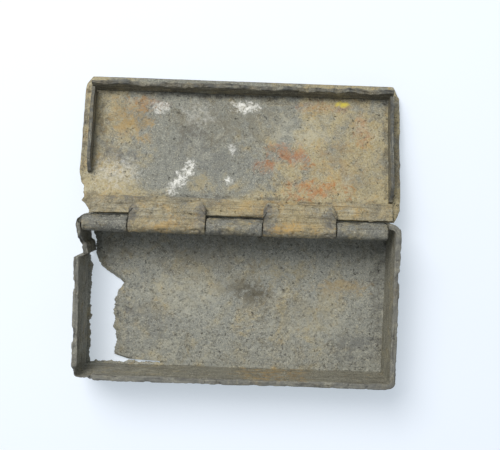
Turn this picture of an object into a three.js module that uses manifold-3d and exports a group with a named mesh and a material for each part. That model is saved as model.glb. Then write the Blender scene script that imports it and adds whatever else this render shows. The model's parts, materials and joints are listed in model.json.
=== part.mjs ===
// Pocket snuff box of soft grey metal, worn and broken: a deep tray and a shallow lid on a barrel hinge.
// The walls of the tray are two bands round an inset floor. The left wall has snapped and its back half
// is pushed inwards, and the floor is torn away beside it. The lid is a plate with four strips on its
// inner side, and lies thrown back over the hinge with its front edge on the table.
//
// Millimetres. X runs along the hinge, Y from the front wall to the hinge, Z up.
// The origin is the centre of the tray's underside.

import * as THREE from "three";
import { mergeVertices } from "three/addons/utils/BufferGeometryUtils.js";
import Module from "manifold-3d";

const wasm = await Module();
wasm.setup();

// Tray
const boxLength = 78;
const boxWidth = 40;
const rimHeight = 15;
const wallThickness = 1.6;
const floorThickness = 1.2;
const frontCornerRadius = 1.6;
const backCornerRadius = 2.6;
const floorCornerRadius = 1.3;
const floorGap = 0.35;

// Broken left wall and torn floor
const breakY = 9.9;
const breakGap = 0.4;
const pushedIn = 1.5;
const spallDepth = 0.9;
const spallLength = 3;
const tearLength = 11.7;
// How far from the break to the front wall the torn edge below was drawn
const tearSpan = 28.3;

// Hinge
const knuckleRadius = 1.9;
const boreRadius = 0.75;
const pinRadius = 0.6;
const axisBelowRim = 1.5;
const backLedge = 0.35;
const seatGap = 0.5;
const knuckleGap = 0.3;
const hingeClearance = 0.45;
const railWidth = 1.9;
const railLip = 0.8;
const railDepth = 2.9;
const leafThickness = 0.8;
const leafReach = 5.8;

// Ends of the barrel row and the four gaps in it, from left to right
const hingeLeft = -37.2;
const hingeSplits = [-26.4, -7.9, 5.7, 23.3];
const hingeRight = 35.5;

// Lid
const plateThickness = 1.2;
const lidOverhang = 0.3;
const sideOverhang = 0.2;
const stripHeight = 4.2;
const sideStripThickness = 1;
const frontStripThickness = 1.3;
const sideClearance = 0.3;
const frontClearance = 0.45;
const cornerNotch = 0.5;
const lidRailWidth = 3.3;
const lidRailHeight = 1.2;
const lidRailStep = 1.3;
const lidRailStepHeight = 0.5;
const brokenCornerWidth = 4.6;
const brokenCornerLength = 10.5;
const cornerChamfer = 1.5;

// Pieces that are soldered together on the turned lid stand this far apart
const seamGap = 0.3;
const tableClearance = 0.05;

// Hinge axis, and the lid seen from it: forwards and up while the box is shut
const axisY = boxWidth / 2 - backLedge - knuckleRadius;
const axisZ = rimHeight - axisBelowRim;
const seatLevel = axisZ - knuckleRadius - seatGap;
const backReach = boxWidth / 2 - axisY;
const lidUnderside = axisBelowRim + seamGap;
const lidTop = lidUnderside + plateThickness;
const lidFront = axisY + boxWidth / 2 + lidOverhang;
const lidHalfLength = boxLength / 2 + sideOverhang;
const stripRoot = lidUnderside - seamGap;
const stripEdge = stripRoot - stripHeight;
const frontStripOuter = axisY + boxWidth / 2 - wallThickness - frontClearance;
const frontStripInner = frontStripOuter - frontStripThickness;
const sideStripOuter = boxLength / 2 - wallThickness - sideClearance;
const innerHalfLength = boxLength / 2 - wallThickness;
const innerHalfWidth = boxWidth / 2 - wallThickness;

// Thrown back, the lid leans until the edge of its plate meets the table
const reach = Math.hypot(lidFront, lidTop);
const lean = Math.asin((axisZ - tableClearance) / reach) - Math.atan2(lidTop, lidFront);
const openAngle = Math.PI + lean;

// How far in front of the axis the lid starts, at a height over the axis, to clear the back wall
const lidStart = (height) =>
  (backReach + hingeClearance + Math.sin(lean) * height) / Math.cos(lean);
const lidRailFront = lidStart(stripRoot - lidRailHeight) + lidRailWidth;
const lidStepFront = lidRailFront + lidRailStep;

// Inner face of the pushed-in wall from the spalled place to its broken end
const fragmentBend = [-innerHalfLength + pushedIn - 0.5, breakY + spallLength];
const fragmentEnd = [-innerHalfLength + pushedIn, breakY - 1];

// Turns a section's own x, y and depth into world directions
const alongX = new THREE.Matrix4().makeBasis(
  new THREE.Vector3(0, 1, 0),
  new THREE.Vector3(0, 0, 1),
  new THREE.Vector3(1, 0, 0),
);

// A section in Y and Z, carried along X
function bar(section, from, to, curveSegments = 10) {
  const settings = { depth: to - from, bevelEnabled: false, curveSegments };
  return new THREE.ExtrudeGeometry(section, settings).applyMatrix4(alongX).translate(from, 0, 0);
}

// A plan outline, given height upwards
function slab(outline, from, to, curveSegments = 8) {
  const settings = { depth: to - from, bevelEnabled: false, curveSegments };
  return new THREE.ExtrudeGeometry(outline, settings).translate(0, 0, from);
}

function polygon(points) {
  return new THREE.Shape(points.map(([x, y]) => new THREE.Vector2(x, y)));
}

function solidOf(geometry) {
  const bare = geometry.index ? geometry.toNonIndexed() : geometry.clone();
  bare.deleteAttribute("normal");
  bare.deleteAttribute("uv");
  const merged = mergeVertices(bare, 1e-4);
  return new wasm.Manifold(
    new wasm.Mesh({
      numProp: 3,
      vertProperties: merged.attributes.position.array,
      triVerts: new Uint32Array(merged.index.array),
    }),
  );
}

function geometryOf(solid) {
  const mesh = solid.getMesh();
  const geometry = new THREE.BufferGeometry();
  geometry.setAttribute("position", new THREE.BufferAttribute(mesh.vertProperties, 3));
  geometry.setIndex(new THREE.BufferAttribute(mesh.triVerts, 1));
  geometry.computeVertexNormals();
  return geometry;
}

const cut = (geometry, tool) => geometryOf(solidOf(geometry).subtract(solidOf(tool)));
const common = (geometry, tool) => geometryOf(solidOf(geometry).intersect(solidOf(tool)));

// Colours read off the metal: grey where it is sound, tan and ochre where it has corroded
const finishes = {
  floor: new THREE.MeshStandardMaterial({ color: 0x7d7767, roughness: 0.85, metalness: 0.35 }),
  wall: new THREE.MeshStandardMaterial({ color: 0x6d6856, roughness: 0.8, metalness: 0.35 }),
  knuckle: new THREE.MeshStandardMaterial({ color: 0x7b7a70, roughness: 0.75, metalness: 0.4 }),
  lidKnuckle: new THREE.MeshStandardMaterial({ color: 0xa3926a, roughness: 0.85, metalness: 0.3 }),
  plate: new THREE.MeshStandardMaterial({ color: 0x958a6c, roughness: 0.85, metalness: 0.3 }),
  strip: new THREE.MeshStandardMaterial({ color: 0x6a6557, roughness: 0.8, metalness: 0.35 }),
  pin: new THREE.MeshStandardMaterial({ color: 0x4c463c, roughness: 0.6, metalness: 0.7 }),
};

function piece(name, geometry, finish) {
  const mesh = new THREE.Mesh(geometry, finish.clone());
  mesh.name = name;
  return mesh;
}

// Walls of the tray

// The jagged line of the break as seen from the side: the strip of wall from it to the far edge
function beyondBreak(edgeY, farY) {
  const steps = [0.1, -0.45, 0.3, -0.5, 0.2, -0.35, 0];
  const line = steps.map((step, i) => [edgeY + step, (rimHeight + 2) * (i / (steps.length - 1)) - 1]);
  const section = polygon([...line, [farY, rimHeight + 1], [farY, -1]]);
  return bar(section, -boxLength / 2 - 1, -boxLength / 2 + wallThickness + pushedIn + 3);
}

// From the break round the front and the right side to the block at the hinge's right end
function frontWall() {
  const x = boxLength / 2;
  const y = boxWidth / 2;
  const outer = frontCornerRadius;
  const inner = Math.max(outer - wallThickness, 0.3);
  const backInner = backCornerRadius - wallThickness;
  const band = new THREE.Shape();
  band.moveTo(-x, breakY + 1);
  band.lineTo(-x, -y + outer);
  band.absarc(-x + outer, -y + outer, outer, Math.PI, 1.5 * Math.PI);
  band.absarc(x - outer, -y + outer, outer, -0.5 * Math.PI, 0);
  band.absarc(x - backCornerRadius, y - backCornerRadius, backCornerRadius, 0, 0.5 * Math.PI);
  band.lineTo(hingeRight + knuckleGap, y);
  band.lineTo(hingeRight + knuckleGap, innerHalfWidth);
  band.absarc(innerHalfLength - backInner, innerHalfWidth - backInner, backInner, 0.5 * Math.PI, 0, true);
  band.absarc(innerHalfLength - inner, -innerHalfWidth + inner, inner, 0, -0.5 * Math.PI, true);
  band.absarc(-innerHalfLength + inner, -innerHalfWidth + inner, inner, -0.5 * Math.PI, -Math.PI, true);
  band.lineTo(-innerHalfLength, breakY + 1);
  return cut(slab(band, 0, rimHeight), beyondBreak(breakY - breakGap / 2, breakY + 3));
}

// Under the hinge the back wall is cut down to the knuckles' seat. Past its left end it turns the
// corner at full height and leans in to the break, with its outer skin spalled off near the end.
function backWall() {
  const x = boxLength / 2;
  const y = boxWidth / 2;
  const r = backCornerRadius;
  const inner = r - wallThickness;
  const [endX, endY] = fragmentEnd;
  const skinX = endX - wallThickness;
  const band = new THREE.Shape();
  band.moveTo(hingeRight, y);
  band.lineTo(-x + r, y);
  band.absarc(-x + r, y - r, r, 0.5 * Math.PI, Math.PI);
  band.lineTo(skinX - spallDepth, breakY + spallLength);
  band.lineTo(skinX, breakY + spallLength - 0.3);
  band.lineTo(skinX + 0.3, endY);
  band.lineTo(endX, endY);
  band.lineTo(...fragmentBend);
  band.absarc(-innerHalfLength + inner, innerHalfWidth - inner, inner, Math.PI, 0.5 * Math.PI, true);
  band.lineTo(hingeRight, innerHalfWidth);
  const seat = polygon([
    [axisY - knuckleRadius - knuckleGap, seatLevel],
    [y + 1, seatLevel],
    [y + 1, rimHeight + 1],
    [axisY - knuckleRadius - knuckleGap, rimHeight + 1],
  ]);
  const lowered = cut(slab(band, 0, rimHeight), bar(seat, hingeLeft - knuckleGap, hingeRight + 1));
  return cut(lowered, beyondBreak(breakY + breakGap / 2, breakY - 3));
}

// The floor lies between the walls. Its left end is torn off in a ragged line from the left wall,
// where the back fragment ends, to the foot of the front wall, where a short tab and a slit remain.
function trayFloor() {
  const x = innerHalfLength;
  const y = innerHalfWidth;
  const r = floorCornerRadius;
  const drawn = (breakY + y) / tearSpan;
  const tear = [
    [2.6, breakY - 2.6 * drawn],
    [3.9, breakY - 4.2 * drawn],
    [6.9, breakY - 6.2 * drawn],
    [8.5, breakY - 7.7 * drawn],
    [7.6, breakY - 9.3 * drawn],
    [6.5, breakY - 12 * drawn],
    [6.8, breakY - 16 * drawn],
    [6.2, breakY - 18.7 * drawn],
    [7.3, breakY - 20.6 * drawn],
    [7.1, breakY - 23.4 * drawn],
    [6.6, -y + 2.6],
    [tearLength - 3.6, -y + 1.9],
    [tearLength - 1.5, -y + 1.3],
  ];
  const outline = new THREE.Shape();
  outline.moveTo(x - r, y);
  outline.lineTo(-x + r, y);
  outline.absarc(-x + r, y - r, r - floorGap, 0.5 * Math.PI, Math.PI);
  outline.lineTo(fragmentBend[0] + floorGap, fragmentBend[1]);
  outline.lineTo(fragmentEnd[0] + floorGap, fragmentEnd[1] + 0.6);
  outline.splineThru(tear.map(([in_, along]) => new THREE.Vector2(-x + in_, along)));
  outline.lineTo(-x + tearLength - 1.2, -y);
  outline.lineTo(-x + tearLength + 1.8, -y);
  outline.lineTo(-x + tearLength + 2.2, -y + 1);
  outline.lineTo(-x + tearLength + 7.5, -y + 0.9);
  outline.lineTo(-x + tearLength + 8.3, -y);
  outline.absarc(x - r, -y + r, r, 1.5 * Math.PI, 2 * Math.PI);
  outline.absarc(x - r, y - r, r, 0, 0.5 * Math.PI);
  return slab(outline, 0, floorThickness, 3);
}

// Ledge inside the back wall that widens the knuckles' seat
function hingeRail() {
  const front = boxWidth / 2 - wallThickness - railWidth;
  const section = polygon([
    [innerHalfWidth, seatLevel],
    [front, seatLevel],
    [front, seatLevel - railLip],
    [innerHalfWidth, seatLevel - railDepth],
  ]);
  const besideCorner = -boxLength / 2 + backCornerRadius + 0.2;
  return bar(section, Math.max(hingeLeft + 1, besideCorner), hingeRight);
}

// Hinge

function boreHole(y, z) {
  return new THREE.Path().absarc(y, z, boreRadius, 0, 2 * Math.PI, true);
}

// A knuckle of the tray: a barrel on a foot that covers the seat from the rail to the outer face
function trayKnuckle(from, to) {
  const back = boxWidth / 2;
  const footFront = innerHalfWidth - railWidth + 0.2;
  const ledgeAngle = Math.asin(-0.3 / knuckleRadius);
  const section = new THREE.Shape();
  section.moveTo(footFront, seatLevel);
  section.lineTo(back, seatLevel);
  section.lineTo(back, axisZ - 0.3);
  section.absarc(axisY, axisZ, knuckleRadius, ledgeAngle, Math.PI * 1.16);
  section.lineTo(footFront, seatLevel);
  section.holes.push(boreHole(axisY, axisZ));
  return bar(section, from, to);
}

// A knuckle of the lid, about the axis as the lid's own origin: a barrel with a leaf that runs
// forwards at the height of the pin and lies under the lid's rail
function lidKnuckle(from, to) {
  const leafTop = stripRoot - lidRailHeight - seamGap;
  const leafUnder = leafTop - leafThickness;
  const crown = leafThickness * 0.35;
  const topAngle = Math.PI - Math.asin(leafTop / knuckleRadius);
  const underAngle = Math.PI + Math.asin(-leafUnder / knuckleRadius);
  const section = new THREE.Shape();
  section.absarc(0, 0, knuckleRadius, underAngle - 2 * Math.PI, topAngle);
  section.lineTo(-leafReach, leafTop);
  section.quadraticCurveTo(-leafReach - 0.5, leafUnder + 0.2, -leafReach + 0.6, leafUnder);
  section.quadraticCurveTo(-leafReach / 2 - 1, leafUnder - crown, -2.4, leafUnder);
  section.holes.push(boreHole(0, 0));
  return bar(section, from, to);
}

function hingePin() {
  const section = new THREE.Shape().absarc(axisY, axisZ, pinRadius, 0, 2 * Math.PI);
  return bar(section, hingeLeft, hingeRight, 12);
}

// Lid, drawn shut: the hinge axis is the origin and the front edge lies towards -Y

// The plate's section has an edge cut to the slope of the back wall that it lies against, and its
// plan has two clipped front corners, a clipped back right corner and a crumbled back left one.
function lidPlate() {
  const section = polygon([
    [-lidFront, lidUnderside + 0.3],
    [-lidFront + 0.3, lidUnderside],
    [-lidStart(lidUnderside), lidUnderside],
    [-lidStart(lidTop), lidTop],
    [-lidFront, lidTop],
  ]);
  const x = lidHalfLength;
  const start = lidStart(lidUnderside);
  const c = cornerChamfer;
  const crumbled = [
    [0.7, brokenCornerLength - 1],
    [1.3, brokenCornerLength - 3.2],
    [1.1, brokenCornerLength - 4.8],
    [1.9, brokenCornerLength - 6.6],
    [brokenCornerWidth - 1.2, start + 0.5],
    [brokenCornerWidth, start - 0.5],
  ];
  const plan = new THREE.Shape();
  plan.moveTo(-x, -lidFront + 1.5 * c);
  plan.lineTo(-x + c, -lidFront);
  plan.lineTo(x - c, -lidFront);
  plan.lineTo(x, -lidFront + 2 * c);
  plan.lineTo(x, -start - 2 * c);
  plan.lineTo(x - 1.2 * c, -start + 0.5);
  crumbled.reverse().forEach(([in_, forward]) => plan.lineTo(-x + in_, -forward));
  plan.lineTo(-x, -brokenCornerLength);
  return common(bar(section, -x - 1, x + 1), slab(plan, lidUnderside - 1, lidTop + 1));
}

// The front strip, thinned and rounded at its free edge, reaches over both side strips' ends
function lidFrontStrip() {
  const section = new THREE.Shape();
  section.moveTo(-frontStripOuter, stripRoot);
  section.lineTo(-frontStripOuter, stripEdge + 0.4);
  section.quadraticCurveTo(-frontStripOuter, stripEdge, -frontStripOuter + 0.4, stripEdge);
  section.lineTo(-frontStripInner - 0.5, stripEdge);
  section.quadraticCurveTo(-frontStripInner - 0.1, stripEdge, -frontStripInner - 0.1, stripEdge + 0.5);
  section.lineTo(-frontStripInner, stripRoot);
  return bar(section, -sideStripOuter, sideStripOuter);
}

// A side strip as its elevation: a long sheet with a rounded front end and a given back end
function sideStrip(outerX, inward, backEnd) {
  const front = frontStripInner - cornerNotch;
  const elevation = new THREE.Shape();
  elevation.moveTo(-front, stripRoot);
  elevation.lineTo(-front, stripEdge + 1);
  elevation.quadraticCurveTo(-front, stripEdge, -front + 1, stripEdge);
  backEnd.forEach(([forward, height]) => elevation.lineTo(-forward, height));
  const [from, to] = [outerX, outerX + inward * sideStripThickness].sort((a, b) => a - b);
  return bar(elevation, from, to);
}

// The left strip is snapped off before the crumbled corner
function lidLeftStrip() {
  const end = brokenCornerLength + 2.6;
  return sideStrip(-sideStripOuter, 1, [
    [end + 4, stripEdge + 0.1],
    [end + 1.4, stripEdge + 0.5],
    [end + 0.3, stripEdge + 1.8],
    [end + 0.8, stripEdge + 2.8],
    [end, stripRoot],
  ]);
}

// The right strip runs to the hinge rail, its lower corner cut off aslant
function lidRightStrip() {
  const end = lidStepFront + seamGap;
  return sideStrip(sideStripOuter, -1, [
    [end + 2.4, stripEdge],
    [end + 0.4, stripEdge + 2.1],
    [end, stripRoot],
  ]);
}

// Low stepped rail that carries the lid's knuckles, from the crumbled corner to the right edge
function lidHingeRail() {
  const face = stripRoot - lidRailHeight;
  const section = polygon([
    [-lidStart(stripRoot), stripRoot],
    [-lidStepFront, stripRoot],
    [-lidStepFront, stripRoot - lidRailStepHeight],
    [-lidRailFront - 0.2, stripRoot - lidRailStepHeight - 0.1],
    [-lidRailFront, face],
    [-lidStart(face), face],
  ]);
  return bar(section, -lidHalfLength + brokenCornerWidth, sideStripOuter);
}

// The whole box

const base = new THREE.Group();
base.add(
  piece("base_floor", trayFloor(), finishes.floor),
  piece("base_front_wall", frontWall(), finishes.wall),
  piece("base_back_wall", backWall(), finishes.wall),
  piece("base_hinge_rail", hingeRail(), finishes.wall),
  piece("hinge_pin", hingePin(), finishes.pin),
);

const lid = new THREE.Group();
lid.add(
  piece("lid_plate", lidPlate(), finishes.plate),
  piece("lid_front_strip", lidFrontStrip(), finishes.strip),
  piece("lid_left_strip", lidLeftStrip(), finishes.strip),
  piece("lid_right_strip", lidRightStrip(), finishes.strip),
  piece("lid_hinge_rail", lidHingeRail(), finishes.plate),
);

// The barrels take turns along the pin: tray, lid, tray, lid, tray
const ends = [hingeLeft, ...hingeSplits, hingeRight];
const knuckleNames = ["left", "left", "middle", "right", "right"];
knuckleNames.forEach((side, i) => {
  const from = ends[i] + (i === 0 ? 0 : knuckleGap / 2);
  const to = ends[i + 1] - (i === knuckleNames.length - 1 ? 0 : knuckleGap / 2);
  if (i % 2 === 0) base.add(piece("base_knuckle_" + side, trayKnuckle(from, to), finishes.knuckle));
  else lid.add(piece("lid_knuckle_" + side, lidKnuckle(from, to), finishes.lidKnuckle));
});

lid.position.set(0, axisY, axisZ);
lid.rotation.x = -openAngle;

const snuffBox = new THREE.Group();
snuffBox.add(base, lid);

export default snuffBox;
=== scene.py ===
"""Worn pocket snuff box of soft grey metal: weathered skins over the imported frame, in a plain pale studio."""

import json
import math

import bpy
import numpy as np
from bpy.props import FloatProperty, FloatVectorProperty, PointerProperty
from bpy.types import Operator, Panel, PropertyGroup
from mathutils import Matrix, Vector


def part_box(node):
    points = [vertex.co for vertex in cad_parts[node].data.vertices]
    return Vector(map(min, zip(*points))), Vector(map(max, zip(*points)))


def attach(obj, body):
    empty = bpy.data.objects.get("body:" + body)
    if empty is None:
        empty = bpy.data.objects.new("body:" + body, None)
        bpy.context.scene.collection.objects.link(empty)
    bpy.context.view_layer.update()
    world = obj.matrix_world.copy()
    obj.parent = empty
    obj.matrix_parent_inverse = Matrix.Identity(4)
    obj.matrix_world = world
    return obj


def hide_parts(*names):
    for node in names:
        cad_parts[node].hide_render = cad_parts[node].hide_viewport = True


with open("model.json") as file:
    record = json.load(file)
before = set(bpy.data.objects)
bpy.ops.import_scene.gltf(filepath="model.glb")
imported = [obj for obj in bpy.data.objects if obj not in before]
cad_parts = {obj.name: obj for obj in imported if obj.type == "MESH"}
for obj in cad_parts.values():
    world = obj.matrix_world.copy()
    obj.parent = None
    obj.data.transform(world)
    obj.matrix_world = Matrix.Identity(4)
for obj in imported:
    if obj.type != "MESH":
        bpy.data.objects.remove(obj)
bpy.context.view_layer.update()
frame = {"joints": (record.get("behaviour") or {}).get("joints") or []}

bl_info = {
    "name": "Worn Snuff Box",
    "version": (1, 0, 0),
    "blender": (4, 5, 0),
    "location": "View3D > Sidebar > Snuff Box",
    "description": "Weathered skins and finishes for a broken hinged pocket box",
    "category": "Object",
}

MM = 0.001

# Places read from the frame, in metres
floor_low, floor_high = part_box("base_floor")
FLOOR_THICKNESS = floor_high.z - floor_low.z
HALF_LENGTH, HALF_WIDTH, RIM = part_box("base_front_wall")[1]
HINGE = frame["joints"][0]
AXIS_Y, AXIS_Z = HINGE["pos_m"][1:]
OPEN_ANGLE = math.radians(HINGE["range_deg"][1])
LEAN = OPEN_ANGLE - math.pi


def paint(red, green, blue):
    """A colour given as it looks on a screen, from 0 to 255, as the linear values that a shader takes, by
    the sRGB curve."""
    shares = [channel / 255 for channel in (red, green, blue)]
    return tuple(s / 12.92 if s <= 0.04045 else ((s + 0.055) / 1.055) ** 2.4 for s in shares)


def length(name, description, default):
    """A size in metres that the sidebar shows with its unit."""
    return FloatProperty(
        name=name, description=description, default=default, min=0, unit="LENGTH", subtype="DISTANCE"
    )


def colour(name, description, default):
    """A colour that the sidebar shows as a swatch."""
    return FloatVectorProperty(
        name=name, description=description, default=default, size=3, min=0, max=1, subtype="COLOR"
    )


class SnuffSizes(PropertyGroup):
    """Sizes of the box's pieces that the frame's boxes don't give."""

    wall: length("Wall", "Thickness of the tray's walls", 1.6 * MM)
    barrel: length("Barrel", "Radius of the hinge's barrels", 1.9 * MM)
    bore: length("Bore", "Radius of the hole through the barrels", 0.75 * MM)
    pin: length("Pin", "Radius of the hinge pin", 0.6 * MM)
    seat: length("Seat", "Height of the knuckles' seat on the back wall", 11.1 * MM)
    rail: length("Rail", "Width of the ledge inside the back wall", 1.9 * MM)
    plate: length("Plate", "Thickness of the lid's plate", 1.2 * MM)
    plate_rise: length("Plate rise", "From the hinge axis up to the plate's inner face, box shut", 1.8 * MM)
    strip: length("Strip", "Height of the lid's strips", 4.5 * MM)
    nibble: length("Nibble", "How deep the worn edges are eaten", 0.35 * MM)


class SnuffColours(PropertyGroup):
    """Colours of the corroded metal and of the table."""

    grey: colour("Grey", "Metal of the lid's plate", paint(122, 123, 115))
    floor: colour("Floor", "Metal of the tray's floor", paint(138, 139, 131))
    wall: colour("Walls", "Metal of the tray's walls", paint(128, 126, 114))
    rim: colour("Rim", "Worn metal along the tray's rim", paint(108, 108, 103))
    knuckle: colour("Tray knuckles", "Metal of the tray's knuckles", paint(106, 106, 100))
    lid_knuckle: colour("Lid knuckles", "Metal of the lid's knuckles", paint(112, 110, 100))
    lid_crust: colour("Lid knuckle crust", "Crust on the lid's knuckles", paint(150, 136, 100))
    rail: colour("Rails", "Metal of the rails along the hinge", paint(114, 109, 94))
    rail_crust: colour("Rail crust", "Crust on the rails along the hinge", paint(156, 142, 106))
    lid_strip: colour("Strips", "Metal of the lid's strips", paint(100, 95, 80))
    strip_edge: colour("Strip edge", "Torn edge of the lid's strips", paint(86, 88, 86))
    slate: colour("Slate", "Dark bluish metal", paint(82, 84, 86))
    brown: colour("Brown", "Grey-brown crust", paint(108, 101, 82))
    tan: colour("Tan", "Tan corrosion", paint(158, 145, 108))
    ochre: colour("Ochre", "Ochre corrosion", paint(170, 138, 78))
    rust: colour("Rust", "Orange rust stains", paint(158, 98, 46))
    yellow: colour("Yellow", "The yellow spot on the lid", paint(206, 190, 70))
    chalk: colour("Chalk", "White deposits", paint(226, 225, 218))
    pale: colour("Pale", "Pale grains", paint(182, 179, 160))
    dark: colour("Dark", "Pits and shadowed crust", paint(54, 50, 43))
    table: colour("Table", "The pale table", paint(176, 180, 188))
    table_cloud: colour("Table cloud", "Faint clouds on the table", paint(166, 171, 182))


# Weathering, worked out on whole arrays

# Sizes of the lumps, the grit and the pits that weather a skin
LUMP_SIZE, GRIT_SIZE, PIT_SIZE = 2.6 * MM, 0.9 * MM, 1.3 * MM
# How layered noise is drawn out along the sweep and pressed together round it
LAYER_SCALE = (0.22, 3, 1)
# How deep the hole in the end of a barrel goes
BORE_DEPTH = 1.2 * MM


def hashed(x, y, z, seed):
    """A repeatable value from -1 to 1 for each whole-number point: the coordinates times large odd
    numbers, added up and stirred by shifts."""
    mask = 0xFFFFFFFF
    n = (x * 374761393 + y * 668265263 + z * 1103515245 + seed * 69069) & mask
    n = ((n ^ (n >> 13)) * 1274126177) & mask
    n = ((n ^ (n >> 16)) * 668265263) & mask
    return ((n >> 8) & 0xFFFF) / 32767.5 - 1


def lattice(points, seed):
    """Smooth noise: the hashed values at the eight corners of each point's cell, blended by the
    smoothstep of where the point lies in the cell."""
    cell = np.floor(points).astype(np.int64)
    part = points - cell
    part = part * part * (3 - 2 * part)
    total = 0
    for corner in np.ndindex(2, 2, 2):
        weight = np.prod(np.where(corner, part, 1 - part), axis=-1)
        total = total + weight * hashed(*np.moveaxis(cell + corner, -1, 0), seed)
    return total


def grain(points, size, seed, octaves=4, rough=0.5):
    """Sum of octaves of smooth noise, each half as large and weaker by the given share; about -1 to 1."""
    total, weight, whole = 0, 1, 0
    for octave in range(octaves):
        total = total + weight * lattice(points / size * 2**octave, seed + 17 * octave)
        whole += weight
        weight *= rough
    return total / whole * 1.6


def smoothstep(low, high, values):
    """0 below low, 1 above high, and a smooth rise between them."""
    share = np.clip((values - low) / (high - low), 0, 1)
    return share * share * (3 - 2 * share)


def loop(corners, radius, count):
    """A closed outline through rounded corners: each corner gives way to a quadratic curve that starts
    and ends at most radius from it, and the whole is spaced evenly into count points."""
    corners = np.asarray(corners, float)
    ends = []
    for turn in (1, -1):
        towards = np.roll(corners, turn, axis=0) - corners
        far = np.linalg.norm(towards, axis=1, keepdims=True)
        ends.append(corners + towards / far * np.minimum(radius, far * 0.45))
    start, end = ends
    t = np.linspace(0, 1, 7)[None, :, None]
    curve = (1 - t) ** 2 * start[:, None] + 2 * t * (1 - t) * corners[:, None] + t**2 * end[:, None]
    return evenly(curve.reshape(-1, 2), count, closed=True)


def walked(line):
    """How far along a line each of its points lies."""
    return np.concatenate([[0], np.cumsum(np.linalg.norm(np.diff(line, axis=0), axis=1))])


def evenly(points, count, closed=False):
    """The same line with count points at even distances along it."""
    line = np.vstack([points, points[:1]]) if closed else np.asarray(points, float)
    far = walked(line)
    wanted = np.linspace(0, far[-1], count + 1)[:-1] if closed else np.linspace(0, far[-1], count)
    return np.stack([np.interp(wanted, far, column) for column in line.T], axis=1)


def arc(centre, radius, start, end, count):
    """Points on an arc, with its angles in degrees."""
    angles = np.radians(np.linspace(start, end, count))
    return np.stack([centre[0] + radius * np.cos(angles), centre[1] + radius * np.sin(angles)], axis=1)


def grid(x, y, z):
    """Points from their X, Y and Z, each spread over the same grid."""
    return np.stack(np.broadcast_arrays(x, y, z), axis=-1)


def unit(vectors):
    """The same directions at length 1."""
    return vectors / np.maximum(np.linalg.norm(vectors, axis=-1, keepdims=True), 1e-12)


def outward(rings):
    """Unit normals of a grid of rings: the cross product of the differences along and around it, turned
    so that they point away from each ring's middle."""
    along = np.gradient(rings, axis=0)
    around = np.roll(rings, -1, axis=1) - np.roll(rings, 1, axis=1)
    normal = unit(np.cross(around, along))
    spread = rings - rings.mean(axis=1, keepdims=True)
    return normal if (normal * spread).sum() > 0 else -normal


def laid(rings):
    """For each point, how far along the sweep and how far round its ring it lies, and 0."""
    return grid(walked(rings.mean(axis=1))[:, None], walked(rings[len(rings) // 2]), 0)


def weather(rings, seed, coarse, fine, layered=False, pit=0.12 * MM):
    """Eats a skin of rings: each point moves inwards by coarse noise and by pits where a finer noise is
    high, and to and fro by fine noise. Layered skins read the noise along and round the sweep, drawn out
    lengthwise, so that long thin layers stand out."""
    space = laid(rings) * LAYER_SCALE if layered else rings
    wide = grain(space, LUMP_SIZE, seed)
    small = grain(space, GRIT_SIZE, seed + 5, octaves=3)
    holes = smoothstep(0.35, 0.9, grain(rings, PIT_SIZE, seed + 9, octaves=3))
    depth = coarse * (0.6 + 0.6 * wide) + fine * small + pit * holes
    return rings - outward(rings) * depth[..., None]


def end_rings(ring, beyond, bore):
    """The rings that close one end of a sweep, and the point in their middle: a ring at half size, or
    with a bore given as (y, z, radius) the mouth and the bottom of that hole."""
    middle = ring.mean(axis=0)
    if not bore:
        return [ring * 0.5 + middle * 0.5], middle
    centre = np.array([middle[0], bore[0], bore[1]])
    mouth = centre + unit((ring - centre) * [0, 1, 1]) * bore[2]
    inwards = np.array([np.sign(beyond.mean(axis=0)[0] - middle[0]) * BORE_DEPTH, 0, 0])
    return [mouth, mouth + inwards], centre + inwards


def skin(name, rings, bore=None, wear=0):
    """A closed mesh from rings of points: quads between neighbouring rings, and at each end a flat fan or
    a bore. Its wear attribute is 1 along the worn rims of walls and strips, and all over the upper face
    of the floor and the inner face of the lid's plate. Its lay attribute holds how far along the sweep
    and how far round it each point lies."""
    around = rings.shape[1]
    first_end, first_middle = end_rings(rings[0], rings[1], bore)
    last_end, last_middle = end_rings(rings[-1], rings[-2], bore)
    stack = [*first_end[::-1], *rings, *last_end]
    points = np.concatenate([*stack, [first_middle, last_middle]])
    index = np.arange(len(stack) * around).reshape(-1, around)
    beside = np.roll(index, -1, axis=1)
    quads = np.stack([index[:-1], beside[:-1], beside[1:], index[1:]], axis=-1).reshape(-1, 4)
    first_fan = np.stack([beside[0], index[0], np.full(around, index.size)], axis=-1)
    last_fan = np.stack([index[-1], beside[-1], np.full(around, index.size + 1)], axis=-1)
    first, second, third, fourth = np.moveaxis(points[quads], 1, 0)
    volume = (first * (np.cross(second, third) + np.cross(third, fourth))).sum()
    turn = -1 if volume < 0 else 1
    faces = sum((part[:, ::turn].tolist() for part in (quads, first_fan, last_fan)), [])
    mesh = bpy.data.meshes.new(name)
    mesh.from_pydata(points.tolist(), [], faces)
    mesh.polygons.foreach_set("use_smooth", np.ones(len(mesh.polygons), bool))
    lead = len(first_end) * around
    swept = slice(lead, lead + len(rings) * around)
    worn = np.zeros(len(points), np.float32)
    worn[swept] = np.broadcast_to(wear, rings.shape[:2]).reshape(-1)
    mesh.attributes.new("wear", "FLOAT", "POINT").data.foreach_set("value", worn)
    place = np.zeros((len(points), 3), np.float32)
    place[swept] = laid(rings).reshape(-1, 3)
    mesh.attributes.new("lay", "FLOAT_VECTOR", "POINT").data.foreach_set("vector", place.reshape(-1))
    mesh.validate()
    mesh.update()
    piece = bpy.data.objects.new(name, mesh)
    bpy.context.scene.collection.objects.link(piece)
    return piece


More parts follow.
